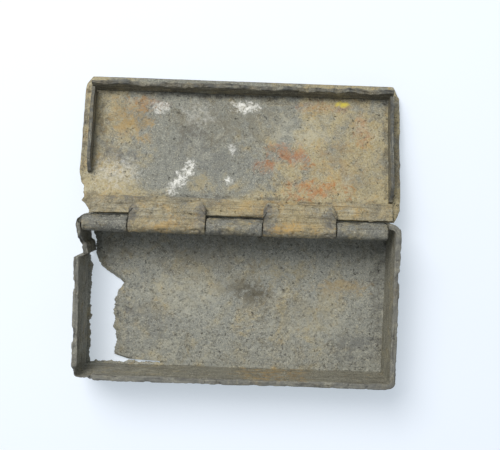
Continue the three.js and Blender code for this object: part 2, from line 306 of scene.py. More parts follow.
def joined(name, parts):
    """Several skins as one piece."""
    bpy.ops.object.select_all(action="DESELECT")
    for part in parts:
        part.select_set(True)
    bpy.context.view_layer.objects.active = parts[0]
    bpy.ops.object.join()
    parts[0].name = name
    return parts[0]


def carried(section, places):
    """Rings of a section in Y and Z at places along X."""
    return grid(places[:, None], *section.T)


def there_and_back(first_count, second_count):
    """Shares of the way from a left edge to a right edge over a sheet's first face and back over its
    second, and a mask that is 1 on the first face."""
    share = np.concatenate([np.linspace(0, 1, first_count), np.linspace(1, 0, second_count)])
    return share, np.concatenate([np.ones(first_count), np.zeros(second_count)])


def between_edges(left, right, share, y):
    """Rings of a sheet at each Y, from its left edge to its right edge by the shares, at height 0."""
    return grid(left[:, None] + (right - left)[:, None] * share, y[:, None], 0)


def edge_line(corners, places):
    """The X of an edge at places in metres, from its corners in millimetres as (place, X)."""
    at, x = np.array(corners).T * MM
    return np.interp(places, at, x)


def thrown_back(points):
    """Points of the shut lid, seen from the hinge axis, turned to where the lid lies at rest."""
    cosine, sine = math.cos(-OPEN_ANGLE), math.sin(-OPEN_ANGLE)
    x, y, z = np.moveaxis(points, -1, 0)
    return grid(x, AXIS_Y + y * cosine - z * sine, AXIS_Z + y * sine + z * cosine)


def settle(piece, body, nodes, material):
    """Gives a piece its finish, and hands it to the frame in place of its nodes."""
    piece.data.materials.clear()
    piece.data.materials.append(material)
    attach(piece, body)
    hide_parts(*nodes)


# Finishes

# How fast a spot thins out from its middle, how much its middle and its noise count, and between which
# sums it rises
SPOT_FALL, SPOT_MIDDLE, SPOT_NOISE = 0.7, 0.42, 2.4
SPOT_RISE = (0.12, 0.62)
# Scale of the streaks' noise along the sweep and round it, per metre
STREAK_SCALE = (120, 1500, 1)
# The warm tone comes in at WARM_START, earlier by WARM_GAIN times its share, and is full WARM_WIDTH on
WARM_START, WARM_GAIN, WARM_WIDTH = 0.72, 0.45, 0.24
# Depth of the bumps in the crust and on the table
CRUST_DEPTH, TABLE_DEPTH = 0.3 * MM, 0.01 * MM


def math_node(operation, reflected=False):
    """A method of Tone that adds a Math node; reflected, the other value comes first."""

    def method(tone, other):
        first, second = (other, tone) if reflected else (tone, other)
        made = tone.board.node("ShaderNodeMath", {"operation": operation}, {0: first, 1: second})
        return Tone(tone.board, made.outputs[0])

    return method


class Tone:
    """A shader socket in a sum: +, -, * and / on it add Math nodes to its board."""

    def __init__(self, board, socket):
        self.board, self.socket = board, socket

    __add__ = __radd__ = math_node("ADD")
    __mul__ = __rmul__ = math_node("MULTIPLY")
    __sub__, __rsub__ = math_node("SUBTRACT"), math_node("SUBTRACT", reflected=True)
    __truediv__, __rtruediv__ = math_node("DIVIDE"), math_node("DIVIDE", reflected=True)


class Board:
    """The node tree of one material."""

    def __init__(self, name):
        self.material = bpy.data.materials.new(name)
        self.material.use_nodes = True
        self.tree = self.material.node_tree
        self.tree.nodes.clear()
        self.place = self.node("ShaderNodeTexCoord", {}, {}).outputs["Object"]
        parts = self.node("ShaderNodeSeparateXYZ", {}, {0: self.place}).outputs
        self.axes = [Tone(self, part) for part in parts]

    def node(self, kind, settings, inputs):
        """A node of a kind, with its settings, and with values or links in its sockets."""
        made = self.tree.nodes.new(kind)
        for key, setting in settings.items():
            setattr(made, key, setting)
        for key, given in inputs.items():
            given = given.socket if isinstance(given, Tone) else given
            if isinstance(given, bpy.types.NodeSocket):
                self.tree.links.new(given, made.inputs[key])
            else:
                made.inputs[key].default_value = given
        return made

    def noise(self, scale, detail, rough=0.55, warp=0, place=None):
        """Noise from 0 to 1 of a scale per metre, read at a place or else at the object coordinates."""
        settings = {"Scale": scale, "Detail": detail, "Roughness": rough, "Distortion": warp}
        made = self.node("ShaderNodeTexNoise", {}, {"Vector": place or self.place, **settings})
        return Tone(self, made.outputs["Fac"])

    def attribute(self, name, output):
        """An output of one of the mesh's own attributes."""
        return self.node("ShaderNodeAttribute", {"attribute_name": name}, {}).outputs[output]

    def rise(self, value, low, high):
        """0 below low and 1 above high, smooth between."""
        inputs = {"Value": value, "From Min": low, "From Max": high}
        made = self.node("ShaderNodeMapRange", {"interpolation_type": "SMOOTHSTEP"}, inputs)
        return Tone(self, made.outputs["Result"])

    def mix(self, share, first, second):
        """From the first colour to the second by a share."""
        inputs = {0: share, 6: rgba(first), 7: rgba(second)}
        return self.node("ShaderNodeMix", {"data_type": "RGBA"}, inputs).outputs[2]

    def spot(self, x, y, wide, deep, ragged):
        """1 at patches of a noise round a place: the patches close up towards the middle of an ellipse and
        thin out beyond its edge. The place and the radii along X and Y are in millimetres."""
        across = (self.axes[0] - x * MM) / (wide * MM)
        along = (self.axes[1] - y * MM) / (deep * MM)
        near = 1 - (across * across + along * along) * SPOT_FALL
        return self.rise(near * SPOT_MIDDLE + (ragged - 0.5) * SPOT_NOISE, *SPOT_RISE)

    def shade(self, base, roughness, metallic, height, depth, glow=(0, 0, 0)):
        """Ends the tree in a shader with a bump of a depth in metres and a faint glow of its own."""
        bump = self.node("ShaderNodeBump", {}, {"Height": height, "Distance": depth, "Strength": 1.0})
        inputs = {"Base Color": base, "Roughness": roughness, "Metallic": metallic, "Normal": bump.outputs[0]}
        glowing = {"Emission Color": rgba(glow), "Emission Strength": 1.0}
        shader = self.node("ShaderNodeBsdfPrincipled", {}, {**inputs, **glowing})
        self.node("ShaderNodeOutputMaterial", {}, {"Surface": shader.outputs[0]})
        return self.material


def rgba(given):
    """A colour with its fourth value, or the socket that was given."""
    return given if isinstance(given, bpy.types.NodeSocket) else (*given[:3], 1.0)


def corroded(name, cool, warm, warm_share, streak, speckle, stains_and_shade=(), trend=None, rim=None, one_face=False):
    """Corroded soft metal, its colours given by their names. A cloud of the warm tone lies over the cool
    one, more of it where trend says, and layers of brown, pale, ochre and slate clouds, pale grains and
    dark pits lie over both. Then come the stains and the painted shade, with one_face only where the wear
    attribute is 1, and last the worn rim's colour and streaks along the sweep."""
    paints = bpy.context.scene.snuff_colours
    board = Board(name)
    cloud = board.noise(130, 7, 0.7, 0.5)
    middle = board.noise(560, 6, 0.7, 0.3)
    fine = board.noise(2200, 4, 0.75)
    gravel = board.noise(3900, 3, 0.8)
    pits = board.rise(board.noise(1000, 5, 0.75, 0.6), 0.6, 0.7)
    sweep = {"Vector": board.attribute("lay", "Vector"), "Scale": STREAK_SCALE}
    layer = board.noise(1, 6, 0.7, 0.4, board.node("ShaderNodeMapping", {}, sweep).outputs[0])
    worn = Tone(board, board.attribute("wear", "Fac"))
    lean = cloud * 0.8 + middle * 0.35 + (layer - 0.5) * streak
    if trend:
        lean = lean + trend(board)
    start = WARM_START - WARM_GAIN * warm_share
    warmth = board.rise(lean, start, start + WARM_WIDTH)
    base = board.mix(warmth * 0.9, getattr(paints, cool), getattr(paints, warm))
    layers = (
        (board.rise(board.noise(210, 6, 0.72, 0.6), 0.5, 0.68) * 0.6, paints.brown),
        (board.rise(board.noise(170, 6, 0.75, 0.8), 0.52, 0.7) * 0.4, paints.pale),
        (board.rise(board.noise(330, 5, 0.75, 0.5), 0.52, 0.68) * warmth * 0.6, paints.ochre),
        (board.rise(board.noise(300, 6, 0.75, 0.7), 0.56, 0.7) * 0.5, paints.slate),
        (board.rise(gravel, 0.53, 0.62) * speckle, paints.pale),
        (board.rise(fine, 0.48, 0.36) * speckle * 0.75, paints.dark),
        (pits * 0.6, paints.dark),
    )
    for share, tint in layers:
        base = board.mix(share, base, tint)
    crumbs, patches = board.noise(850, 7, 0.8, 0.6), board.noise(380, 7, 0.8, 0.6)
    for tint, *place, strength in stains_and_shade:
        mark = board.spot(*place, crumbs if tint == "chalk" else patches) * strength
        base = board.mix(mark * worn if one_face else mark, base, getattr(paints, tint))
    if rim:
        base = board.mix(worn * (0.25 + board.rise(middle, 0.4, 0.56) * 0.6), base, getattr(paints, rim))
    if streak:
        base = board.mix(board.rise(layer, 0.46, 0.34) * streak * 0.5, base, paints.pale)
        base = board.mix(board.rise(layer, 0.51, 0.62) * streak, base, paints.dark)
    height = gravel * 0.35 + fine * 0.4 + middle * 0.5 + layer * streak * 1.4 - pits * 0.6
    roughness = 0.6 + board.rise(middle, 0.3, 0.7) * 0.25
    metallic = 0.24 - warmth * 0.18
    return board.shade(base, roughness, metallic, height, CRUST_DEPTH)


# Stains, and some painted shade: the colour, X and Y of the middle, the radii along X and Y, all in
# millimetres, and the strength. Those of the lid's plate give the distance in front of the hinge axis in place
# of Y.
FLOOR_STAINS_AND_SHADE = [
    ("dark", 2.1, 1.2, 6.4, 3.0, 0.85), ("brown", 2, 2, 9, 6, 0.5),
    # The brown band at Y 15.5 along the hinge is painted shade under the rail and knuckles
    ("slate", -27.7, -4.7, 1.9, 1.7, 0.4), ("brown", -2, 15.5, 36, 4, 0.4),
    ("dark", 36.5, 0, 2.6, 20, 0.4), ("tan", 12, 6, 8, 5, 0.45), ("ochre", 26, 3, 9, 2.4, 0.35),
    ("tan", 25, 2, 8, 3, 0.3), ("pale", -12, 0, 14, 9, 0.35), ("pale", 20, -6, 11, 7, 0.3),
    ("brown", -30, 12, 6, 5, 0.5), ("brown", -8, 9, 16, 5, 0.4), ("slate", -22, -8, 9, 7, 0.35),
    ("slate", 30, -13, 7, 5, 0.5), ("brown", 16, -3, 9, 5, 0.35),
]
WALL_STAINS = [("ochre", 10, -18.2, 11, 0.5, 0.6), ("dark", -37.5, 14, 3, 6, 0.35)]
LID_KNUCKLE_STAINS = [
    *(("slate", x, 20, 3, 6, 0.7) for x in (-26, -8.5, 6.5, 22.5)),
    ("ochre", -17, 18, 7, 2, 0.6), ("ochre", 14, 18, 7, 2, 0.8),
]
RAIL_STAINS = [("slate", -26, 25, 8, 3, 0.5), ("ochre", 12, 23, 18, 3, 0.4)]
LID_STAINS_AND_SHADE = [
    ("slate", -11.4, 23.7, 4.6, 3.0, 0.6), ("slate", -29.5, 17.3, 6, 2.2, 0.6),
    ("slate", 22.5, 20, 5, 2.6, 0.45), ("slate", -8, 18, 11, 7, 0.3),
    ("dark", -34.0, 27.5, 1.8, 7.5, 0.6), ("dark", -36.5, 6, 3.2, 5, 0.6),
    ("brown", -28, 28, 7, 5, 0.5), ("dark", -38.7, 24, 1.3, 16, 0.6),
    # The dark line at X 35.6 is painted shade at the foot of the right strip
    ("dark", 38.7, 20, 1.3, 18, 0.5), ("dark", 35.6, 21, 0.9, 16, 0.6),
    # The dark lines at 34.1 and 8.0 in front of the axis are painted shade at the foot of the front strip and
    # of the rail
    ("dark", 0, 34.1, 42, 0.8, 0.7), ("dark", 0, 8.0, 42, 0.5, 0.5), ("brown", -4, 26, 16, 6, 0.5),
    ("brown", 30, 12, 7, 5, 0.4), ("pale", 14, 25, 9, 5, 0.4), ("tan", -9.6, 11.6, 3.8, 2.8, 0.6),
    ("tan", -30, 10, 7, 4, 0.5), ("ochre", -27, 27, 7, 6, 0.5), ("ochre", 24, 16, 8, 8, 0.3),
    ("rust", 11.4, 19.2, 6.5, 3.4, 0.65), ("rust", 18.2, 10.4, 9, 3.2, 0.75),
    ("rust", 6, 16, 3, 2.2, 0.5), ("rust", 30, 26, 3, 4, 0.4), ("rust", -24, 31, 6, 2.2, 0.25),
    ("rust", 20, 32, 9, 2, 0.3), ("chalk", 0.6, 31.2, 4.2, 1.7, 0.9),
    ("chalk", -20.2, 30.4, 2.6, 2.0, 0.7), ("chalk", -11.0, 29, 5, 4, 0.2),
    ("chalk", -12.4, 15.0, 1.9, 2.2, 0.9), ("chalk", -14.4, 12.4, 1.7, 2.4, 0.9),
    ("chalk", -16.4, 9.8, 1.6, 1.9, 0.7), ("chalk", -2.8, 12.1, 1.2, 1.0, 0.9),
    ("chalk", -2.2, 20.5, 1.0, 1.6, 0.6), ("chalk", -30, 13, 7, 5, 0.3),
    ("yellow", 24.5, 33.0, 2.6, 0.9, 0.9),
]


def tray_floor_finish():
    """Grey-brown speckled floor, darker towards the right, with painted shade towards the hinge and a dark
    patch at its middle.
    """

    def trend(board):
        # Painted shade: the floor darkens towards the hinge, under the rail and knuckles
        hinge = board.rise(board.axes[1], 6 * MM, 17 * MM)
        right = board.rise(board.axes[0], 24 * MM, 37 * MM)
        return hinge * -0.05 - right * 0.12

    return corroded("Tray floor", "floor", "tan", 0.38, 0, 0.9, FLOOR_STAINS_AND_SHADE, trend=trend, one_face=True)


def wall_finish():
    """Layered brown-grey walls with long streaks and an ochre band, worn to grey along the rim."""
    return corroded("Tray walls", "wall", "tan", 0.34, 0.5, 0.75, WALL_STAINS, rim="rim")


def tray_knuckle_finish():
    """Grey lumpy knuckles with tan crust."""
    return corroded("Tray knuckles", "knuckle", "tan", 0.42, 0.35, 0.6)


def lid_knuckle_finish():
    """Tan and yellow knuckles with grey ends."""
    return corroded("Lid knuckles", "lid_knuckle", "lid_crust", 0.7, 0.45, 0.6, LID_KNUCKLE_STAINS)


def rail_finish():
    """Tan metal of the tray's rail and of the lid's."""
    return corroded("Lid rail", "rail", "rail_crust", 0.62, 0.45, 0.6, RAIL_STAINS)


def lid_strip_finish():
    """Dark layered strips with a ragged grey edge."""
    return corroded("Lid strips", "lid_strip", "tan", 0.35, 0.7, 0.45, rim="strip_edge")


def pin_finish():
    """Dark rusty rod."""
    return corroded("Pin", "dark", "rust", 0.4, 0.3, 0.2)


def on_lid(x, forward):
    """A place on the lid's inner face, from its distance to the hinge axis, as X and Y in millimetres."""
    rise = bpy.context.scene.snuff_sizes.plate_rise / MM
    return x, AXIS_Y / MM + forward * math.cos(LEAN) - rise * math.sin(LEAN)


def lid_plate_finish():
    """The lid's inner face: tan at both sides, grey-brown in the middle, with rust, chalk and dark patches,
    and painted shade along the foot of its front strip, its right strip and its rail."""

    def trend(board):
        x, y = board.axes[:2]
        left = 1 - board.rise(x, -34 * MM, -17 * MM)
        right = board.rise(x, -4 * MM, 22 * MM)
        hinge = 1 - board.rise(y, 24 * MM, 30 * MM)
        return left * 0.2 + right * 0.2 + hinge * 0.14 - 0.12

    stains_and_shade = [(tint, *on_lid(x, forward), *rest) for tint, x, forward, *rest in LID_STAINS_AND_SHADE]
    return corroded("Lid plate", "grey", "tan", 0.5, 0, 0.7, stains_and_shade, trend=trend, one_face=True)


# Walls of the tray

# The walls' section: how round its edges are, and how many points go round it
WALL_ROUND, WALL_RING = 0.45, 110
FRONT_CORNER, BACK_CORNER = 0.9 * MM, 1.8 * MM
# The front band runs from BREAK_Y on the left to BLOCK_X by the hinge, and the back one from SEAM_X by the
# hinge to the end of the pushed-in fragment, whose corners are X and Y in millimetres
BREAK_Y, BLOCK_X, SEAM_X = 9.6 * MM, 35.9 * MM, 35.45 * MM
FRAGMENT = [(-37.5, 13), (-36.85, 12.3), (-36.6, 10.2)]
# The spalled stretch before the fragment: its start and end in Y, its half thickness, and how much thicker
# the fragment is
SPALL_START, SPALL_END = 15 * MM, (12.9 * MM, 12.3 * MM)
SPALLED_HALF, FRAGMENT_GAIN = 0.66 * MM, 0.2 * MM
# How far the rims lie under the CAD model's, how high the front one sways, where the back one steps down
FRONT_LOSS, BACK_LOSS, SWAY = 0.22 * MM, 0.3 * MM, 0.2 * MM
STEP_DOWN = (-37.9 * MM, -37.4 * MM)
# How far down a rim is worn, and between which shares of the wall's height a chip starts
RIM_WEAR = 1.2 * MM
CHIP_RISE = (0.5, 0.72)
# Chips: X, Y, reach and depth, in millimetres
FRONT_CHIPS = [(-37.5, -20.6, 4.2, 0.75), (39.4, 7.2, 1.6, 0.5), (-39.2, 3, 1.2, 0.4), (-39.3, -9, 2, 0.35)]
BACK_CHIPS = [
    (-39.2, 15.6, 1.6, 0.5), (-38.9, 18.2, 1.4, 0.3), (-38.2, 12.9, 1.2, 0.3), (-36, 11.2, 1.1, 0.25)
]


def band(name, path, half, top, seed, chips):
    """A wall: an upright rounded section carried along a path in plan. half is its half thickness and top
    its height at each step. The rim is nibbled most, and layers run along the wall."""
    section = loop([(-1, 0), (1, 0), (1, RIM / MM), (-1, RIM / MM)], WALL_ROUND, WALL_RING)
    ahead = unit(np.gradient(path, axis=0))
    side = np.stack([ahead[:, 1], -ahead[:, 0]], axis=1)
    out, height = section[:, 0] * half[:, None], section[:, 1] * MM / RIM
    rings = grid(path[:, :1] + side[:, :1] * out, path[:, 1:] + side[:, 1:] * out, height * top[:, None])
    near_rim = smoothstep(top[:, None] - RIM_WEAR, top[:, None], rings[:, :, 2])
    rings = weather(rings, seed, coarse=0.1 * MM, fine=0.07 * MM, layered=True, pit=0.16 * MM)
    nibble = bpy.context.scene.snuff_sizes.nibble
    eaten = nibble * smoothstep(-0.1, 0.9, grain(rings, 1.7 * MM, seed + 3)) * near_rim
    upper = smoothstep(RIM * CHIP_RISE[0], RIM * CHIP_RISE[1], rings[:, :, 2])
    for x, y, reach, depth in np.array(chips) * MM:
        away = np.hypot(rings[:, :, 0] - x, rings[:, :, 1] - y)
        eaten = eaten + depth * upper * (1 - smoothstep(reach * 0.75, reach, away))
    return skin(name, rings - outward(rings) * eaten[..., None], wear=near_rim)


def front_wall(sizes):
    """The band from the break on the left, round the front, to the block at the hinge's right end."""
    half = sizes.wall / 2
    x, y = HALF_LENGTH - half, HALF_WIDTH - half
    line = np.vstack([
        [(-x, BREAK_Y)],
        arc((-x + FRONT_CORNER, -y + FRONT_CORNER), FRONT_CORNER, 180, 270, 8),
        arc((x - FRONT_CORNER, -y + FRONT_CORNER), FRONT_CORNER, 270, 360, 8),
        arc((x - BACK_CORNER, y - BACK_CORNER), BACK_CORNER, 0, 90, 10),
        [(BLOCK_X, y)],
    ])
    path = evenly(line, 430)
    top = RIM - FRONT_LOSS - SWAY * grain(grid(*path.T, 0), 22 * MM, 31, octaves=2)
    return band("front_wall", path, np.full(len(path), half), top, 3, FRONT_CHIPS)


def back_wall(sizes):
    """The band behind the hinge, cut down to the knuckles' seat, then at full height round the left corner
    and down to the pushed-in fragment, before which it is thinner where its skin has spalled off."""
    half = sizes.wall / 2
    x, y = HALF_LENGTH - half, HALF_WIDTH - half
    line = np.vstack([
        [(SEAM_X, y)],
        arc((-x + BACK_CORNER, y - BACK_CORNER), BACK_CORNER, 90, 180, 12),
        np.array(FRAGMENT) * MM,
    ])
    path = evenly(line, 260)
    on_fragment = smoothstep(*SPALL_END, path[:, 1])
    thick = np.where(path[:, 1] < SPALL_START, SPALLED_HALF + FRAGMENT_GAIN * on_fragment, half)
    corner = 1 - smoothstep(*STEP_DOWN, path[:, 0])
    top = sizes.seat + (RIM - BACK_LOSS - sizes.seat) * corner
    return band("back_wall", path, thick, top, 11, BACK_CHIPS)


class SNUFF_OT_walls(Operator):
    """Skins the two wall bands of the tray"""

    bl_idname = "snuff.walls"
    bl_label = "Tray walls"

    def execute(self, context):
        finish = wall_finish()
        sizes = context.scene.snuff_sizes
        settle(front_wall(sizes), "base", ["base_front_wall"], finish)
        settle(back_wall(sizes), "base", ["base_back_wall"], finish)
        return {"FINISHED"}


# Floor of the tray

# The floor's torn left edge: Y and X, in millimetres
TORN_EDGE = [
    (-18.7, -18.6), (-17.5, -19), (-17.3, -26.9), (-16.5, -29.3), (-16, -30.5), (-14.4, -30.8),
    (-13.1, -30.3), (-10.5, -30.4), (-8.8, -31.2), (-6.2, -30.6), (-4.2, -31), (-1.6, -30.7),
    (0.2, -30.1), (1.4, -29.4), (2.2, -28.9), (3.2, -29.6), (3.7, -30.5), (4.7, -32.1), (6, -33.8),
    (7.3, -34.9), (8.9, -35.6), (12.9, -36.1), (17, -37.2), (18.7, -37.3),
]
# The floor's reach to front and back in millimetres, its right edge, and the Y from which its left edge
# is ragged
FLOOR_REACH, FLOOR_RIGHT, RAGGED_FROM = 18.65, 37.7 * MM, -17.4 * MM
# A dent in the floor: its middle, the radii of its bottom and its rim, and its depth
DENT_X, DENT_Y = -27.7 * MM, -4.7 * MM
DENT_RADII, DENT_DEPTH = (0.4 * MM, 2.1 * MM), 0.3 * MM
# Slivers of the floor left at the walls, and the tab beside the slit: the name, the start, the end and the
# width in millimetres, and the seed
SLIVERS = [
    ("front_sliver", (-37.4, -18.45), (-18, -18.45), 0.8, 51),
    ("left_sliver", (-37.45, 9.0), (-37.45, -18.4), 1.1, 53),
    ("tab", (-27.1, -17.9), (-25.2, -17.9), 0.9, 57),
]


def floor_sheet():
    """Rings at steps along Y: each goes from the torn edge to the right wall over the top, and back under
    the bottom. The edge is ragged and thin, and the top has a dent and a shallow grain."""
    y = np.linspace(-FLOOR_REACH, FLOOR_REACH, 210) * MM
    bite = grain(grid(y, 0, 0), 1.9 * MM, 41, octaves=6, rough=0.75) * 0.5 * MM
    left = edge_line(TORN_EDGE, y) + np.where(y > RAGGED_FROM, bite, 0)
    share, upper = there_and_back(300, 130)
    rings = between_edges(left, np.full(len(y), FLOOR_RIGHT), share, y)
    whole = smoothstep(0, 1.6 * MM, rings[:, :, 0] - left[:, None])
    top, bottom = FLOOR_THICKNESS * (0.55 + 0.45 * whole), 0.02 * MM + 0.1 * MM * (1 - whole)
    rings[:, :, 2] = np.where(upper, top, bottom)
    lumps = grain(rings, 3.2 * MM, 43) * 0.07 * MM
    pits = smoothstep(0.3, 0.8, grain(rings, 1.1 * MM, 45, octaves=3)) * 0.12 * MM
    away = np.hypot(rings[:, :, 0] - DENT_X, rings[:, :, 1] - DENT_Y)
    dent = DENT_DEPTH * (1 - smoothstep(*DENT_RADII, away))
    rings[:, :, 2] += upper * (lumps - pits - dent) - 0.05 * MM
    rings[:, :, 2] = np.maximum(rings[:, :, 2], 0.01 * MM)
    return skin("floor_sheet", rings, wear=upper)


def remnant(name, start, end, width, seed):
    """A ragged sliver of the floor left at the foot of a wall: a flat section carried from start to end,
    its free side at a width that noise changes."""
    start, end = np.array(start) * MM, np.array(end) * MM
    steps = max(int(np.linalg.norm(end - start) / (0.25 * MM)), 8)
    path = start + (end - start) * np.linspace(0, 1, steps)[:, None]
    ahead = unit(end - start)
    side = np.array([-ahead[1], ahead[0]])
    section = loop([(-0.4, 0.12), (1, 0.3), (1, 0.75), (-0.4, 1.05)], 0.2, 28)
    torn = grain(grid(*path.T, 0), 1.6 * MM, seed, octaves=5, rough=0.7)
    free = np.maximum(width * (0.6 + 0.6 * torn), 0.1)
    reach = section[:, 0] * np.where(section[:, 0] > 0, free[:, None], 1) * MM
    rings = grid(path[:, :1] + side[0] * reach, path[:, 1:] + side[1] * reach, section[:, 1] * MM)
    return skin(name, weather(rings, seed, coarse=0.04 * MM, fine=0.03 * MM, pit=0.04 * MM))


class SNUFF_OT_floor(Operator):
    """Skins the torn floor, with the slivers left along the walls and the tab beside the slit"""

    bl_idname = "snuff.floor"
    bl_label = "Tray floor"

    def execute(self, context):
        parts = [floor_sheet(), *(remnant(*sliver) for sliver in SLIVERS)]
        settle(joined("tray_floor", parts), "base", ["base_floor"], tray_floor_finish())
        return {"FINISHED"}


# Hinge

# The left end of the tray's rail, whose right end is at SEAM_X
RAIL_LEFT = -36.1 * MM
# A step along a barrel, how far from its ends it narrows, and how far it reaches past its box on the right
BARREL_STEP, SHOULDER, BARREL_REACH = 0.2 * MM, 0.5 * MM, 0.08 * MM
# The outline of a lid knuckle's leaf round its tip: Y and Z from the axis, in millimetres
LEAF = [(-5.8, 0.05), (-6.2, -0.35), (-5.4, -0.85), (-3.8, -1.1), (-2.4, -0.85)]


def tray_rail(sizes):
    """The ledge under the knuckles: its section along X, with the free edge pushed to and fro by noise."""
    inner = HALF_WIDTH - sizes.wall
    front, root, seat = inner - sizes.rail, inner + 0.3 * MM, sizes.seat
    corners = [(root, seat), (front, seat), (front, seat - 0.8 * MM), (root, seat - 2.9 * MM)]
    rings = carried(loop(corners, 0.35 * MM, 56), np.linspace(RAIL_LEFT, SEAM_X, 300))
    free = smoothstep(inner, front, rings[:, :, 1])
    push = 0.5 + 0.6 * grain(rings[:, :, :1] * [1, 1, 1], 2.4 * MM, 61)
    rings[:, :, 1] += free * 0.45 * MM * push
    return skin("tray_rail", weather(rings, 63, coarse=0.1 * MM, fine=0.08 * MM, layered=True))


def along_barrel(from_x, to_x):
    """Places along a barrel, and how far each lies from the nearer end."""
    places = np.linspace(from_x, to_x, int((to_x - from_x) / BARREL_STEP))
    return places, np.minimum(places - from_x, to_x - places)


def tray_knuckle(name, from_x, to_x, sizes, seed):
    """A barrel on a foot that covers the seat, carried along X and swollen in places by crust."""
    foot = HALF_WIDTH - sizes.wall - sizes.rail + 0.2 * MM
    outline = np.vstack([
        [(foot, sizes.seat), (HALF_WIDTH, sizes.seat), (HALF_WIDTH, AXIS_Z - 0.3 * MM)],
        arc((AXIS_Y, AXIS_Z), sizes.barrel, -9, 209, 30),
    ])
    places, ends = along_barrel(from_x, to_x)
    rings = carried(evenly(outline, 76, closed=True), places)
    shoulder = 1 - 0.1 * (1 - smoothstep(0, SHOULDER, ends))
    rings[:, :, 1:] = (rings[:, :, 1:] - [AXIS_Y, AXIS_Z]) * shoulder[:, None, None] + [AXIS_Y, AXIS_Z]
    rings[:, :, 2] = np.maximum(rings[:, :, 2], sizes.seat)
    swelling = grain(grid(places, 0, 0), 4 * MM, seed, octaves=3) * 0.1 * MM
    rings[:, :, 1:] += swelling[:, None, None]
    rings[:, :, 1] = np.minimum(rings[:, :, 1], HALF_WIDTH)
    rings = weather(rings, seed, coarse=0.2 * MM, fine=0.13 * MM, pit=0.3 * MM)
    return skin(name, rings, (AXIS_Y, AXIS_Z, sizes.bore))


def lid_knuckle(name, from_x, to_x, sizes, seed):
    """A barrel with its leaf: an arc round the axis and a crowned tongue forwards at the pin's height. The
    leaf swells into lumps at both ends, and its middle is eaten away."""
    outline = np.vstack([arc((0, 0), sizes.barrel, -155, 178, 34), np.array(LEAF) * MM])
    places, ends = along_barrel(from_x, to_x)
    rings = carried(evenly(outline, 96, closed=True), places)
    lump = 1 - smoothstep(0.6 * MM, 4 * MM, ends)
    hollow = np.maximum(grain(grid(places, 0, 0), 3.2 * MM, seed, octaves=3), 0)
    on_leaf = smoothstep(-2.2 * MM, -3.0 * MM, rings[:, :, 1]) * (rings[:, :, 2] < -0.3 * MM)
    rings[:, :, 2] -= on_leaf * (0.25 * lump - 0.22 * hollow)[:, None] * MM
    rings[:, :, 1] += (rings[:, :, 1] < -4.8 * MM) * (0.5 * hollow - 0.25 * lump)[:, None] * MM
    rounded = 1.1 * (1 - smoothstep(0, 1.2 * MM, ends))
    rings[:, :, 1] += (rings[:, :, 1] < -4.0 * MM) * rounded[:, None] * MM
    shoulder = 1 - 0.08 * (1 - smoothstep(0, SHOULDER, ends))
    rings[:, :, 1:] *= shoulder[:, None, None]
    rings = weather(rings, seed, coarse=0.18 * MM, fine=0.13 * MM, pit=0.3 * MM)
    return skin(name, thrown_back(rings), (AXIS_Y, AXIS_Z, sizes.bore))


def pin(sizes):
    """A thin rod along the axis, pitted by rust."""
    section = arc((AXIS_Y, AXIS_Z), sizes.pin, 0, 345, 24)
    low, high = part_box("hinge_pin")
    rings = carried(section, np.linspace(low.x, high.x, 240))
    return skin("pin", weather(rings, 91, coarse=0.03 * MM, fine=0.02 * MM, pit=0.03 * MM))


class SNUFF_OT_hinge(Operator):
    """Skins the rail, the five barrels and the pin"""

    bl_idname = "snuff.hinge"
    bl_label = "Hinge"

    def execute(self, context):
        sizes = context.scene.snuff_sizes
        settle(tray_rail(sizes), "base", ["base_hinge_rail"], rail_finish())
        grey, tan = tray_knuckle_finish(), lid_knuckle_finish()
        for seed, side in enumerate(["left", "middle", "right"]):
            low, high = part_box("base_knuckle_" + side)
            piece = tray_knuckle("tray_knuckle_" + side, low.x, high.x + BARREL_REACH, sizes, 71 + seed)
            settle(piece, "base", ["base_knuckle_" + side], grey)
        for seed, side in enumerate(["left", "right"]):
            low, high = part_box("lid_knuckle_" + side)
            piece = lid_knuckle("lid_barrel_" + side, low.x, high.x + BARREL_REACH, sizes, 81 + seed)
            settle(piece, "lid", ["lid_knuckle_" + side], tan)
        settle(pin(sizes), "base", ["hinge_pin"], pin_finish())
        return {"FINISHED"}


# Lid, drawn shut with the hinge axis as origin and its front towards -Y

# The plate's left and right edges: the distance in front of the axis and X, in millimetres
LEFT_EDGE = [
    (2.8, -34.6), (3.3, -36), (5.0, -37.2), (6.2, -38.0), (7.6, -37.9), (9.5, -38.5),
    (10.5, -38.9), (13, -39.2), (34.5, -39.15), (36, -39.1), (38.05, -37.6),
]
RIGHT_EDGE = [(2.8, 37.3), (3.1, 37.6), (6.1, 39.15), (34.8, 39.15), (38.05, 37.6)]
# The plate's two ends in front of the axis in millimetres, how far its outer face is cut back at the hinge,
# and how far its edges are rounded off
PLATE_ENDS, SLANT, PLATE_ROUND = (3.05, 38.0), 0.35 * MM, 0.18 * MM
# How deep the strips' roots sink into the plate
STRIP_SINK = 0.15 * MM
# Y of the front strip's outer face, and of its inner face at the free edge and at the root
FRONT_OUTER, FRONT_INNER, FRONT_ROOT = -35.7 * MM, -34.55 * MM, -34.35 * MM
# X of the side strips' outer faces, their thickness, and their front end in millimetres from the axis
SIDE_X, SIDE_THICKNESS, SIDE_FAR = 37.1 * MM, 1.0 * MM, 33.9
# The lid rail's lower outline: Y and Z from the axis, in millimetres, between its two roots in the plate
RAIL_STEPS = [(-7.5, 1.0), (-6.4, 0.9), (-6.2, 0.3), (-2.95, 0.3)]
RAIL_ROOTS, RAIL_SINK = (-3.0, -7.5), 0.1 * MM


